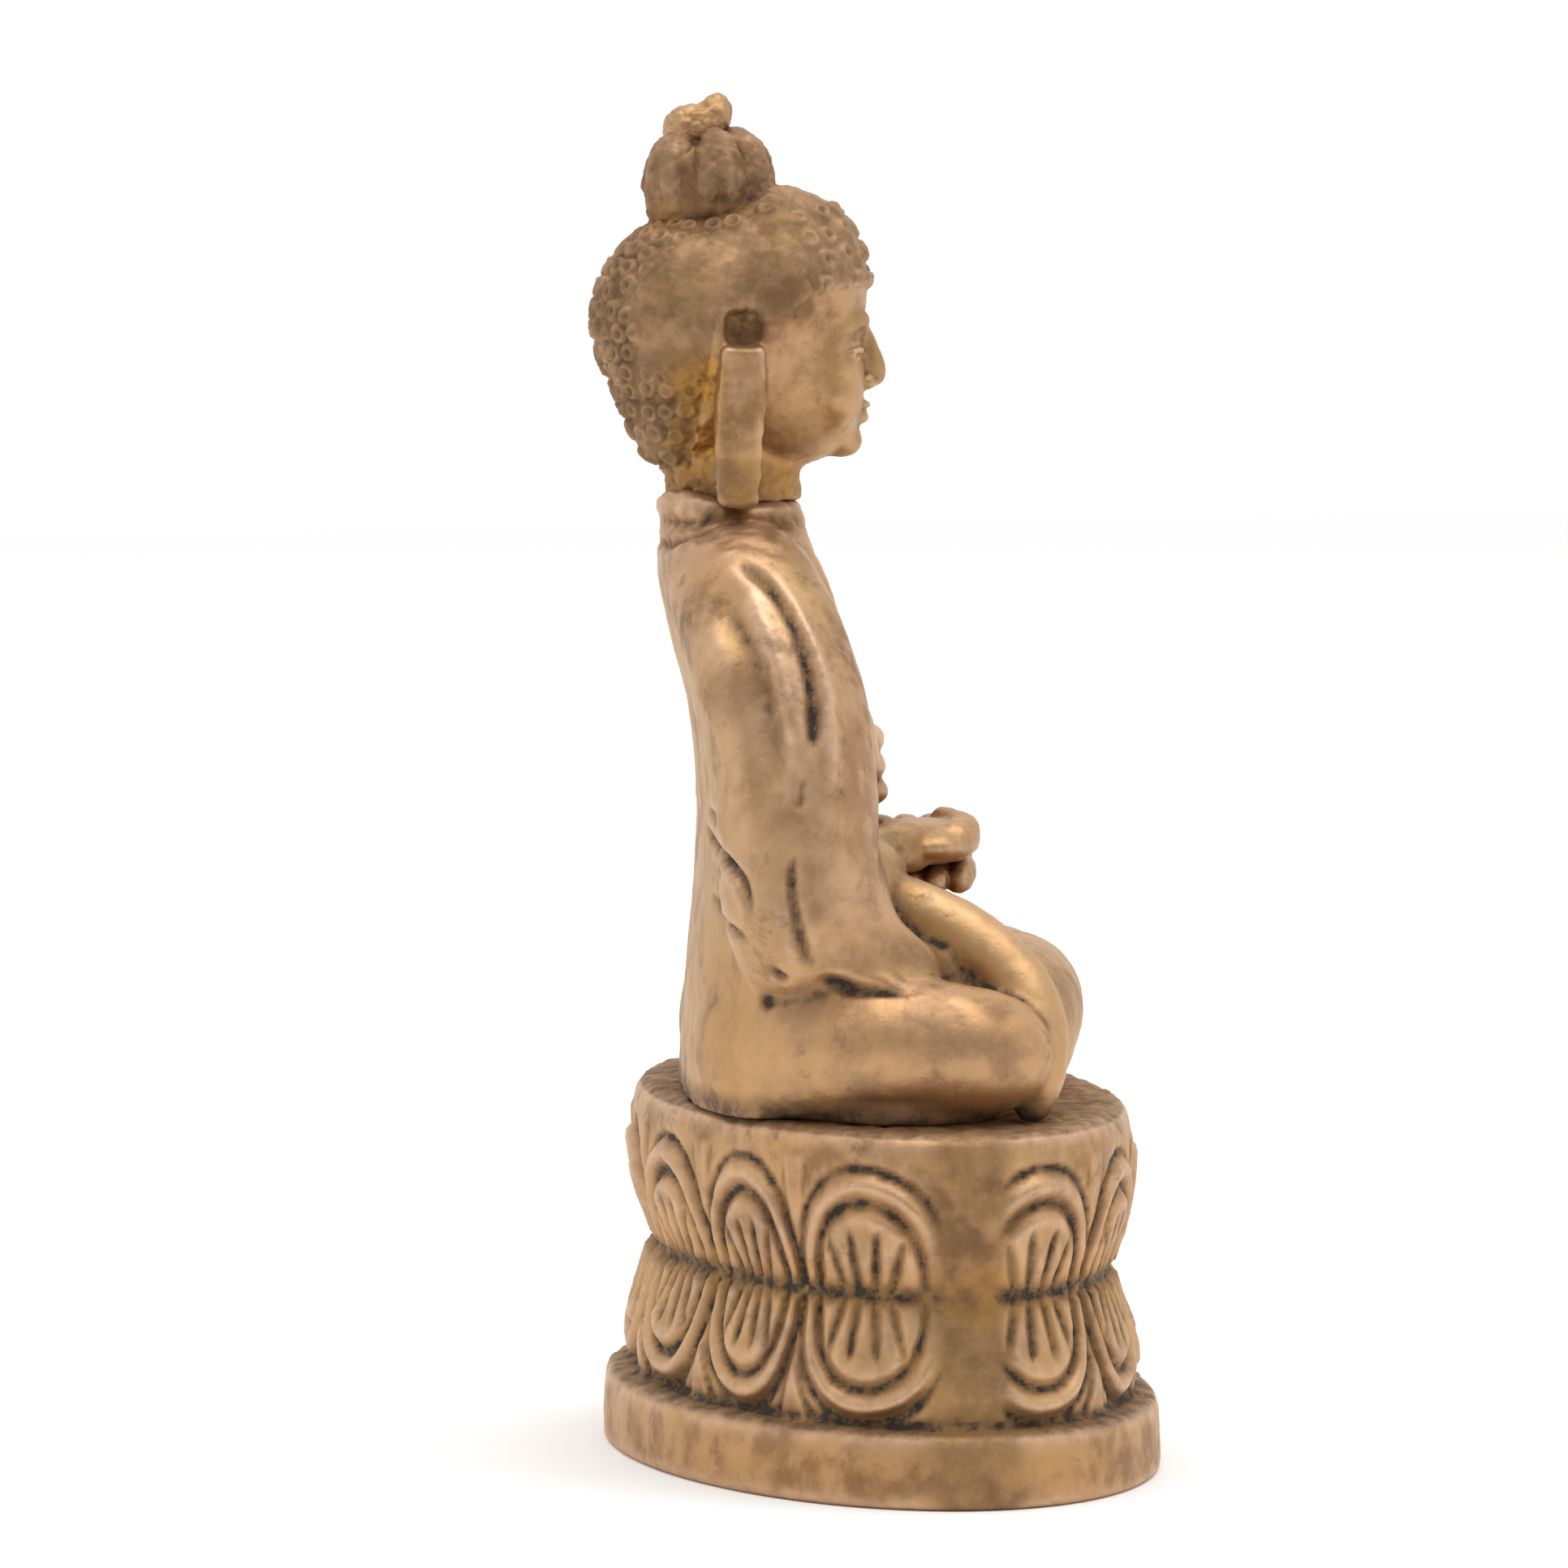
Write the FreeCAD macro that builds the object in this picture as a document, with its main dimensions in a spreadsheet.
import FreeCAD, Part
import math
import os
from FreeCAD import Placement, Rotation, Vector

# Seated Buddha on an oval double-lotus throne, built up from cast and fitted pieces.
# Millimetres. +Z is up, the figure looks towards -Y, and the origin is the middle of the rest face.
# The figure is laid out on a sculptor's grid: its own places and sizes are in angulas (finger widths).

SIZES = [
    # lotus throne
    ("throne_width", 41.0, "plinth rim, side to side"),
    ("throne_depth", 23.4, "plinth rim, front to back"),
    ("plinth_height", 3.2, "plain rim under the lower petals"),
    ("plinth_draft", 0.3, "how far the rim leans in at its top"),
    ("waist_height", 9.0, "where the two rows of petals meet"),
    ("waist_inset", 2.3, "waist in from the plinth"),
    ("lower_bulge_height", 4.6, "fullest level of the lower petals"),
    ("lower_bulge_inset", 0.95, "lower petals in from the plinth"),
    ("upper_bulge_height", 13.0, "fullest level of the upper petals"),
    ("upper_bulge_inset", 1.15, "upper petals in from the plinth"),
    ("deck_height", 16.0, "top of the throne, where the figure sits"),
    ("deck_inset", 2.3, "edge of the deck in from the plinth"),
    ("throne_wall", 1.5, "casting wall behind the petals"),
    ("deck_thickness", 1.6, "casting wall under the figure"),
    ("petal_count", 12, "petals in one row"),
    ("groove_radius", 0.45, "groove between two petals"),
    # base plate and its pins
    ("rim_wall", 1.2, "plinth wall around the base plate"),
    ("ledge_width", 1.6, "ledge that the base plate bears on"),
    ("plate_thickness", 0.8, "closing plate"),
    ("plate_clearance", 0.05, "gap around the closing plate"),
    ("pin_radius", 0.35, "base plate pins"),
    ("pin_depth", 1.6, "pin length above the plate"),
    # joint between figure and throne
    ("tenon_spacing", 16.0, "middle to middle of the two tenons"),
    ("tenon_width", 3.0, "tenon, side to side"),
    ("tenon_thickness", 1.6, "tenon, front to back"),
    ("tenon_reach", 3.0, "tenon below the underside of the deck"),
    ("tenon_place", 2.0, "middle of the tenons behind the throne's middle"),
    ("wedge_width", 1.0, "wedge, side to side"),
    ("wedge_length", 5.0, "wedge, front to back"),
    ("wedge_thick_end", 1.3, "wedge, tall end"),
    ("wedge_thin_end", 0.9, "wedge, low end"),
    ("fit", 0.03, "clearance on a side of a fitted joint"),
    # figure
    ("angula", 0.7, "finger width, the figure's grid"),
    ("spigot_radius", 1.7, "neck spigot"),
    ("spigot_length", 4.0, "neck spigot below the collar"),
    ("neck_pin_radius", 0.4, "pin that holds the spigot"),
    ("stem_radius", 0.55, "stem of the crown jewel"),
    ("stem_length", 2.4, "stem below the top of the crown knot"),
    # sealed contents
    ("deck_opening_radius", 2.0, "hole for the life stick"),
    ("stick_side", 1.6, "life stick, square foot"),
    ("stick_tip_side", 0.8, "life stick, square tip"),
    ("stick_gap", 0.8, "above the tip of the life stick"),
    ("scroll_thickness", 0.6, "rolled layers of the mantra sheet"),
    ("scroll_length", 9.0, "rolled mantra sheet"),
    ("scroll_lift", 2.0, "mantra roll above the deck"),
    ("thread_radius", 0.16, "thread around the mantra roll"),
]

# Places on the figure's grid, in angulas: x to its left, y to its back, z above the deck.
COLLAR_Z = 37.3
COLLAR_Y = 9.9
CAVITY_TOP_Z = 25.0
CAVITY_Y = 6.0
NECK_PIN_Z = 34.6
LEFT_HAND_Z = 14.3
PALM_THICKNESS = 2.2
KNOT_TOP_Z = 60.3
KNOT_Y = 11.2
END_SWELL = 1.03

PLATE_PINS = 4
THREAD_TURNS = 3

doc = FreeCAD.newDocument("seated_buddha")
sheet = doc.addObject("Spreadsheet::Sheet", "sizes")
for row, (alias, value, note) in enumerate(SIZES, start=1):
    sheet.set(f"A{row}", note)
    sheet.set(f"B{row}", str(value))
    sheet.setAlias(f"B{row}", alias)
doc.recompute()

DECK = "sizes.deck_height"
FULL_WIDTH = "sizes.throne_width / 2"
FULL_DEPTH = "sizes.throne_depth / 2"


def grid(value, start="0"):
    """Expression for a place on the figure's grid."""
    return f"{start} + ({value}) * sizes.angula"


def bind(obj, **sizes):
    """Bind properties to expressions; a double underscore stands for a dot."""
    for name, expression in sizes.items():
        obj.setExpression(name.replace("__", "."), str(expression))
    return obj


def place(obj, x, y, z):
    return bind(obj, Placement__Base__x=x, Placement__Base__y=y, Placement__Base__z=z)


def solid(kind, name, x, y, z, **sizes):
    obj = doc.addObject(f"Part::{kind}", name)
    bind(obj, **sizes)
    return place(obj, x, y, z)


def box(name, x, y, z, length, width, height):
    """A box whose footprint is centred on x, y and which stands on z."""
    corner_x = f"{x} - ({length}) / 2"
    corner_y = f"{y} - ({width}) / 2"
    return solid("Box", name, corner_x, corner_y, z, Length=length, Width=width, Height=height)


def cylinder(name, x, y, z, radius, height, axis=Vector(0, 0, 1)):
    obj = solid("Cylinder", name, x, y, z, Radius=radius, Height=height)
    obj.Placement.Rotation = Rotation(Vector(0, 0, 1), axis)
    return obj


def oval(name, half_width, half_depth, height, middle="0"):
    obj = doc.addObject("Part::Ellipse", name)
    bind(obj, MajorRadius=half_width, MinorRadius=half_depth)
    return place(obj, "0", middle, height)


def loft(name, sections, ruled=False):
    obj = doc.addObject("Part::Loft", name)
    obj.Sections = sections
    obj.Solid = True
    obj.Ruled = ruled
    return obj


def fuse(name, pieces):
    obj = doc.addObject("Part::MultiFuse", name)
    obj.Shapes = pieces
    return obj


def fuse_in_turn(name, pieces):
    """Join many crossing pieces one after another, each to all before it."""
    whole = pieces[0]
    for number, piece in enumerate(pieces[1:]):
        joined = doc.addObject("Part::Fuse", f"{name}_{number}")
        joined.Base = whole
        joined.Tool = piece
        whole = joined
    return whole


def cut(name, base, tool):
    obj = doc.addObject("Part::Cut", name)
    obj.Base = base
    obj.Tool = tool
    return obj


def throne_oval(name, height, inset):
    """A section of the throne: the plinth's oval, drawn in all round."""
    return oval(name, f"{FULL_WIDTH} - ({inset})", f"{FULL_DEPTH} - ({inset})", height)


def throne_loft(name, levels, ruled=False):
    sections = []
    for number, (height, inset) in enumerate(levels):
        sections.append(throne_oval(f"{name}_section_{number}", height, inset))
    return loft(name, sections, ruled)


def ball(name, centre, radius):
    """A rounded mass on the grid."""
    x, y, z = centre
    return solid("Sphere", name, grid(x), grid(y), grid(z, DECK), Radius=grid(radius))


def taper(name, start, end, start_radius, end_radius):
    """A round limb on the grid from one point to another."""
    x, y, z = start
    way = Vector(*end) - Vector(*start)
    obj = solid(
        "Cone",
        name,
        grid(x),
        grid(y),
        grid(z, DECK),
        Radius1=grid(start_radius),
        Radius2=grid(end_radius),
        Height=grid(way.Length),
    )
    obj.Placement.Rotation = Rotation(Vector(0, 0, 1), way)
    return obj


def limb(name, start, end, start_radius, end_radius):
    """A round limb with rounded ends that stand a little proud of it."""
    return [
        ball(f"{name}_start", start, start_radius * END_SWELL),
        taper(name, start, end, start_radius, end_radius),
        ball(f"{name}_end", end, end_radius * END_SWELL),
    ]


def mass(name, levels, ruled=True):
    """A mass on the grid from flat ovals: height, middle, half width, half depth."""
    sections = []
    for number, (z, y, half_width, half_depth) in enumerate(levels):
        section = oval(
            f"{name}_section_{number}",
            grid(max(half_width, half_depth)),
            grid(min(half_width, half_depth)),
            grid(z, DECK),
            grid(y),
        )
        if half_depth > half_width:
            section.Placement.Rotation = Rotation(Vector(0, 0, 1), 90)
        sections.append(section)
    return loft(name, sections, ruled)


# ---------------------------------------------------------------- lotus throne


def petal_grooves(name, low, high, low_inset, high_inset, shift):
    """Slanted grooves, one between each two petals, around the whole row."""
    count = int(sheet.petal_count)
    grooves = []
    for number in range(count):
        turn = 2 * math.pi * (number + shift) / count
        groove = doc.addObject("Part::Feature", f"{name}_{number}")
        groove.Shape = groove_solid(turn, low, high, low_inset, high_inset)
        grooves.append(groove)
    return grooves


def groove_solid(turn, low, high, low_inset, high_inset):
    radius = float(sheet.groove_radius)
    start = oval_point(turn, low, low_inset)
    end = oval_point(turn, high, high_inset)
    return Part.makeCylinder(radius, (end - start).Length, start, end - start)


def oval_point(turn, height, inset):
    half_width = float(sheet.throne_width) / 2 - inset
    half_depth = float(sheet.throne_depth) / 2 - inset
    return Vector(half_width * math.cos(turn), half_depth * math.sin(turn), height)


def make_throne():
    plinth = throne_loft(
        "plinth",
        [("0", "0"), ("sizes.plinth_height", "sizes.plinth_draft")],
        ruled=True,
    )
    lower_row = throne_loft(
        "lower_row",
        [
            ("sizes.plinth_height", "sizes.lower_bulge_inset + 0.15"),
            ("sizes.lower_bulge_height", "sizes.lower_bulge_inset"),
            (
                "(sizes.lower_bulge_height + sizes.waist_height) / 2",
                "(sizes.lower_bulge_inset + sizes.waist_inset) / 2 - 0.2",
            ),
            ("sizes.waist_height", "sizes.waist_inset"),
        ],
    )
    upper_row = throne_loft(
        "upper_row",
        [
            ("sizes.waist_height", "sizes.waist_inset"),
            (
                "(sizes.waist_height + sizes.upper_bulge_height) / 2",
                "(sizes.upper_bulge_inset + sizes.waist_inset) / 2 - 0.3",
            ),
            ("sizes.upper_bulge_height", "sizes.upper_bulge_inset"),
            (
                "(sizes.upper_bulge_height + sizes.deck_height) / 2 + 0.5",
                "(sizes.upper_bulge_inset + sizes.deck_inset) / 2 - 0.3",
            ),
            (DECK, "sizes.deck_inset"),
        ],
    )
    outside = fuse("throne_outside", [plinth, lower_row, upper_row])
    low, middle, high = float(sheet.plinth_height), float(sheet.waist_height), float(sheet.deck_height)
    bulge, waist, edge = (
        float(sheet.lower_bulge_inset),
        float(sheet.waist_inset),
        float(sheet.deck_inset),
    )
    lower_grooves = petal_grooves("lower_groove", low + 0.2, middle, bulge, waist, 0.5)
    upper_grooves = petal_grooves("upper_groove", middle, high - 0.2, waist, edge - 0.9, 0.5)
    chamber = throne_loft(
        "chamber",
        [
            ("sizes.plate_thickness", "sizes.rim_wall + sizes.ledge_width"),
            ("sizes.plinth_height", "sizes.rim_wall + sizes.ledge_width"),
            ("sizes.waist_height", "sizes.waist_inset + sizes.throne_wall"),
            ("sizes.upper_bulge_height", "sizes.upper_bulge_inset + sizes.throne_wall + 0.6"),
            ("sizes.deck_height - sizes.deck_thickness", "sizes.deck_inset + sizes.throne_wall"),
        ],
        ruled=True,
    )
    rebate = throne_loft(
        "plate_rebate",
        [("-1", "sizes.rim_wall"), ("sizes.plate_thickness", "sizes.rim_wall")],
        ruled=True,
    )
    stick_hole = cylinder(
        "stick_hole",
        "0",
        grid(CAVITY_Y),
        "sizes.deck_height - sizes.deck_thickness - 1",
        "sizes.deck_opening_radius",
        "sizes.deck_thickness + 2",
    )
    slots = [tenon_box(f"tenon_slot_{side}", side, "sizes.fit", "2") for side in (-1, 1)]
    holes = plate_pin_row("pin_hole", "sizes.pin_radius + sizes.fit")
    hollow = fuse("throne_hollow", [chamber, rebate, stick_hole] + slots + holes)
    carved = cut("throne_carved", outside, fuse("throne_grooves", lower_grooves + upper_grooves))
    return finish(cut("lotus_throne", carved, hollow))


def tenon_box(name, side, growth, above):
    """One tenon's outline, from its tip up past the underside of the figure."""
    return box(
        name,
        f"{side} * sizes.tenon_spacing / 2",
        "sizes.tenon_place",
        "sizes.deck_height - sizes.deck_thickness - sizes.tenon_reach",
        f"sizes.tenon_width + 2 * {growth}",
        f"sizes.tenon_thickness + 2 * {growth}",
        f"sizes.tenon_reach + sizes.deck_thickness + {above}",
    )


def plate_pin(name, number, radius):
    """A pin through the plate's edge into the ledge, one towards each corner of the oval."""
    turn = f"{(number + 0.5) * 360 / PLATE_PINS}"
    inset = "(sizes.rim_wall + sizes.ledge_width / 2 + 0.1)"
    return cylinder(
        name,
        f"({FULL_WIDTH} - {inset}) * cos({turn})",
        f"({FULL_DEPTH} - {inset}) * sin({turn})",
        "0",
        radius,
        "sizes.plate_thickness + sizes.pin_depth",
    )


def plate_pin_row(name, radius):
    return [plate_pin(f"{name}_{number}", number, radius) for number in range(PLATE_PINS)]


def make_base_plate():
    inset = "sizes.rim_wall + sizes.plate_clearance"
    blank = throne_loft("plate_blank", [("0", inset), ("sizes.plate_thickness", inset)], ruled=True)
    holes = plate_pin_row("plate_hole", "sizes.pin_radius + sizes.fit")
    return finish(cut("base_plate", blank, fuse("plate_holes", holes)))


def make_plate_pins():
    pins = plate_pin_row("pin", "sizes.pin_radius")
    return finish(compound("plate_pins", pins), len(pins))


def compound(name, pieces):
    obj = doc.addObject("Part::Compound", name)
    obj.Links = pieces
    return obj


# ---------------------------------------------------------------- figure


def torso():
    """Hips, waist, chest, shoulders and the flat collar that the neck stands on."""
    levels = [
        (0, 5.7, 13.4, 7.1),
        (9, 6.0, 11.5, 6.3),
        (20, 6.0, 11.1, 5.9),
        (30, 8.0, 13.4, 5.9),
        (COLLAR_Z, COLLAR_Y, 4.9, 4.1),
    ]
    return mass("torso", levels, ruled=False)


def limbs(side):
    """One arm and one leg under the robe; side is 1 for the figure's left."""
    name = "left" if side > 0 else "right"
    shoulder = (12.4 * side, 9.0, 31.2)
    elbow = (15.6 * side, 7.6, 12.9)
    wrist = (5.5 * side, -0.6, 13.6)
    hip = (11.0 * side, 7.0, 4.9)
    knee = (19.8 * side, -6.4, 4.7)
    arm = limb(f"{name}_upper_arm", shoulder, elbow, 4.1, 3.3)
    sleeve = limb(f"{name}_forearm", elbow, wrist, 3.1, 2.6)[1:]
    thigh = limb(f"{name}_thigh", hip, knee, 4.6, 4.5)
    return arm + sleeve + thigh


def hand_pocket():
    """The room over the lap, between the cuffs, that the hands lie in."""
    return solid(
        "Box",
        "hand_pocket",
        grid(-7.2),
        grid(-8.6),
        grid(LEFT_HAND_Z - PALM_THICKNESS / 2, DECK),
        Length=grid(14.4),
        Width=grid(9.2),
        Height=grid(5.5),
    )


def make_body(wrists):
    masses = [torso()]
    for side in (-1, 1):
        masses += limbs(side)
    masses += limb("right_shin", (-18.2, -7.0, 5.0), (4.0, -8.1, 5.6), 3.9, 4.2)[1:]
    masses += limb("left_shin", (18.2, -6.9, 4.6), (-4.5, -7.9, 4.9), 3.9, 4.1)[1:]
    masses.append(mass("lap", [(0, -1.5, 17.5, 10.2), (6, -1.8, 16.0, 9.6), (12.6, -1.5, 9.5, 6.0)]))
    for side in (-1, 1):
        tenon = tenon_box(f"tenon_blank_{side}", side, "0", "1")
        masses.append(cut(f"tenon_{side}", tenon, wedge_hole(f"wedge_hole_{side}", side)))
    pin_hole = neck_pin_shape("neck_pin_hole", "sizes.neck_pin_radius + sizes.fit")
    tools = [body_cavity(), neck_socket(), pin_hole, hand_pocket()]
    whole = fuse_in_turn("figure_mass", masses)
    return finish(cut("seated_body", whole, fuse("body_hollow", tools + wrists)))


def body_cavity():
    """The hollow of the casting, open underneath."""
    return mass(
        "body_cavity",
        [(-2, CAVITY_Y, 5.4, 3.6), (13, CAVITY_Y, 5.2, 3.2), (CAVITY_TOP_Z, 6.6, 4.6, 3.1)],
    )


def neck_socket():
    return cylinder(
        "neck_socket",
        "0",
        grid(COLLAR_Y),
        f"{grid(COLLAR_Z, DECK)} - sizes.spigot_length - sizes.fit",
        "sizes.spigot_radius + sizes.fit",
        "sizes.spigot_length + 1",
    )


def neck_pin_shape(name, radius):
    """A pin driven forward from the nape, through the collar and the spigot."""
    start = grid(COLLAR_Y + 3.6)
    return cylinder(name, "0", start, grid(NECK_PIN_Z, DECK), radius, grid(7.2), Vector(0, -1, 0))


def wedge_hole(name, side):
    return box(
        name,
        f"{side} * sizes.tenon_spacing / 2",
        "sizes.tenon_place",
        "sizes.deck_height - sizes.deck_thickness - sizes.wedge_thick_end",
        "sizes.wedge_width + 2 * sizes.fit",
        "sizes.tenon_thickness + 1",
        "sizes.wedge_thick_end",
    )


def make_wedges():
    """Two wedges that draw the tenons down, bearing on the underside of the deck."""
    wedges = []
    for side in (-1, 1):
        wedge = doc.addObject("Part::Wedge", f"wedge_{side}")
        bind(
            wedge,
            Xmin="0",
            Xmax="sizes.wedge_width",
            X2min="0",
            X2max="sizes.wedge_width",
            Ymin="0",
            Ymax="sizes.wedge_length",
            Zmin="-sizes.wedge_thick_end",
            Zmax="0",
            Z2min="-sizes.wedge_thin_end",
            Z2max="0",
        )
        place(
            wedge,
            f"{side} * sizes.tenon_spacing / 2 - sizes.wedge_width / 2",
            "sizes.tenon_place - sizes.wedge_length / 2",
            "sizes.deck_height - sizes.deck_thickness",
        )
        wedges.append(wedge)
    return finish(compound("tenon_wedges", wedges), len(wedges))


def hand(side, level, thickness):
    """An open hand, palm up, with its fingers across the lap towards the other side."""
    name = "left" if side > 0 else "right"
    palm = solid(
        "Box",
        f"{name}_palm",
        grid(min(-0.4 * side, 5.6 * side)),
        grid(-6.4),
        grid(level - thickness / 2, DECK),
        Length=grid(6.0),
        Width=grid(7.0),
        Height=grid(thickness),
    )
    masses = [palm]
    for finger in range(4):
        y = -2.9 + 1.75 * (finger - 1.5)
        reach = -5.2 - 0.8 * (finger in (1, 2))
        digit = limb(f"{name}_finger_{finger}", (0.6 * side, y, level), (reach * side, y, level), 0.86, 0.78)
        masses += digit[1:]
    masses += limb(f"{name}_thumb", (5.0 * side, -6.8, level), (1.6 * side, -7.6, level + 2.4), 0.9, 0.75)
    wrist = taper(f"{name}_wrist", (4.6 * side, -2.2, level), (10.5 * side, 1.6, 13.6), 1.1, 1.0)
    finish(fuse(f"{name}_hand", masses + [wrist]))
    return wrist


def make_hands():
    """The right hand lies on the left one. Gives the wrists, for the sleeves to be hollowed by."""
    return [
        hand(1, LEFT_HAND_Z, PALM_THICKNESS),
        hand(-1, LEFT_HAND_Z + PALM_THICKNESS, PALM_THICKNESS),
    ]


def make_head():
    masses = [
        ball("skull", (0, 10.7, 49.0), 7.3),
        mass(
            "face",
            [(39.2, 7.0, 2.8, 3.2), (42.5, 7.8, 5.1, 5.7), (47.5, 8.4, 5.9, 6.4), (51.5, 9.4, 5.6, 6.2)],
        ),
        taper("nose", (0, 2.9, 44.4), (0, 3.3, 48.0), 1.2, 0.5),
        ball("crown_knot", (0, KNOT_Y, 56.6), 4.1),
    ]
    for side in (-1, 1):
        ear = box(
            f"ear_{side}",
            grid(7.0 * side),
            grid(10.2),
            grid(37.6, DECK),
            grid(1.4),
            grid(2.6),
            grid(12.0),
        )
        masses.append(ear)
    neck = cylinder("neck", "0", grid(COLLAR_Y), grid(COLLAR_Z, DECK), grid(3.9), grid(7))
    spigot = cylinder(
        "spigot",
        "0",
        grid(COLLAR_Y),
        f"{grid(COLLAR_Z, DECK)} - sizes.spigot_length",
        "sizes.spigot_radius",
        "sizes.spigot_length + 1",
    )
    jewel_hole = crown_stem("jewel_hole", "sizes.stem_radius + sizes.fit", "1")
    pin_hole = neck_pin_shape("spigot_pin_hole", "sizes.neck_pin_radius + sizes.fit")
    jewel_seat = cylinder("jewel_seat", "0", grid(KNOT_Y), grid(KNOT_TOP_Z, DECK), grid(3), grid(2))
    whole = fuse("head_mass", masses + [neck, spigot])
    return finish(cut("head", whole, fuse("head_hollow", [jewel_hole, jewel_seat, pin_hole])))


def crown_stem(name, radius, above):
    return cylinder(
        name,
        "0",
        grid(KNOT_Y + 0.6),
        f"{grid(KNOT_TOP_Z, DECK)} - sizes.stem_length",
        radius,
        f"sizes.stem_length + {above}",
    )


def make_jewel():
    """An uneven bud on a round stem."""
    bud = mass(
        "jewel_bud",
        [
            (KNOT_TOP_Z, KNOT_Y + 0.3, 1.55, 1.6),
            (KNOT_TOP_Z + 0.9, KNOT_Y + 0.4, 2.0, 2.1),
            (KNOT_TOP_Z + 2.45, KNOT_Y + 0.1, 1.1, 1.2),
        ],
    )
    return finish(fuse("crown_jewel", [bud, crown_stem("jewel_stem", "sizes.stem_radius", "0.4")]))


def make_neck_pin():
    return finish(neck_pin_shape("neck_pin", "sizes.neck_pin_radius"))


# ---------------------------------------------------------------- sealed contents


STICK_LENGTH = f"({grid(CAVITY_TOP_Z, DECK)} - sizes.stick_gap - sizes.plate_thickness)"
SCROLL_FOOT = f"({DECK} + sizes.scroll_lift)"


def scroll_bore():
    """Half the stick's diagonal where the roll begins, with room to slide on."""
    share = f"({SCROLL_FOOT} - sizes.plate_thickness) / {STICK_LENGTH}"
    side = f"(sizes.stick_side - (sizes.stick_side - sizes.stick_tip_side) * {share})"
    return f"({side} / sqrt(2) + sizes.fit)"


def scroll_radius():
    return f"({scroll_bore()} + sizes.scroll_thickness)"


def make_life_stick():
    """A square stick that tapers from its foot on the base plate to its tip in the chest."""
    stick = doc.addObject("Part::Wedge", "life_stick")
    margin = "(sizes.stick_side - sizes.stick_tip_side) / 2"
    bind(
        stick,
        Xmin="0",
        Xmax="sizes.stick_side",
        Zmin="0",
        Zmax="sizes.stick_side",
        Ymin="0",
        Ymax=STICK_LENGTH,
        X2min=margin,
        X2max=f"sizes.stick_side - {margin}",
        Z2min=margin,
        Z2max=f"sizes.stick_side - {margin}",
    )
    place(
        stick,
        "-sizes.stick_side / 2",
        f"{grid(CAVITY_Y)} + sizes.stick_side / 2",
        "sizes.plate_thickness",
    )
    stick.Placement.Rotation = Rotation(Vector(1, 0, 0), 90)
    return finish(stick)


def make_scroll():
    """A mantra sheet rolled around the stick, inside the chest."""
    roll = cylinder("roll", "0", grid(CAVITY_Y), SCROLL_FOOT, scroll_radius(), "sizes.scroll_length")
    bore = cylinder("roll_bore", "0", grid(CAVITY_Y), SCROLL_FOOT, scroll_bore(), "sizes.scroll_length")
    return finish(cut("mantra_scroll", roll, bore))


def make_thread():
    """Three turns of thread that keep the roll shut."""
    turns = []
    for number in range(THREAD_TURNS):
        turns.append(
            solid(
                "Torus",
                f"thread_turn_{number}",
                "0",
                grid(CAVITY_Y),
                f"{SCROLL_FOOT} + sizes.scroll_length * {(number + 0.5) / THREAD_TURNS}",
                Radius1=f"{scroll_radius()} + sizes.thread_radius + sizes.fit",
                Radius2="sizes.thread_radius",
            )
        )
    return finish(compound("scroll_thread", turns), len(turns))


finished = []


def finish(obj, solids=1):
    """Take a document object as a finished sub-part of so many separate solids."""
    finished.append((obj, solids))
    return obj


def check_and_write():
    doc.recompute()
    for obj in doc.Objects:
        if "Invalid" in obj.State or "Error" in obj.State:
            raise RuntimeError(f"{obj.Name} failed: {obj.State}")
    for obj, solids in finished:
        if obj.Shape.isNull() or not obj.Shape.isValid():
            raise RuntimeError(f"{obj.Label} has no valid shape")
        if len(obj.Shape.Solids) != solids:
            raise RuntimeError(f"{obj.Label} has {len(obj.Shape.Solids)} solids, not {solids}")
    os.makedirs("parts", exist_ok=True)
    for obj, solids in finished:
        print(obj.Label, len(obj.Shape.Solids), "solid(s)", round(obj.Shape.Volume, 1), "mm3")
        obj.Shape.exportStep(f"parts/{obj.Label}.step")


make_throne()
make_base_plate()
make_plate_pins()
make_wedges()
wrists = make_hands()
make_body(wrists)
make_head()
make_neck_pin()
make_jewel()
make_life_stick()
make_scroll()
make_thread()
check_and_write()
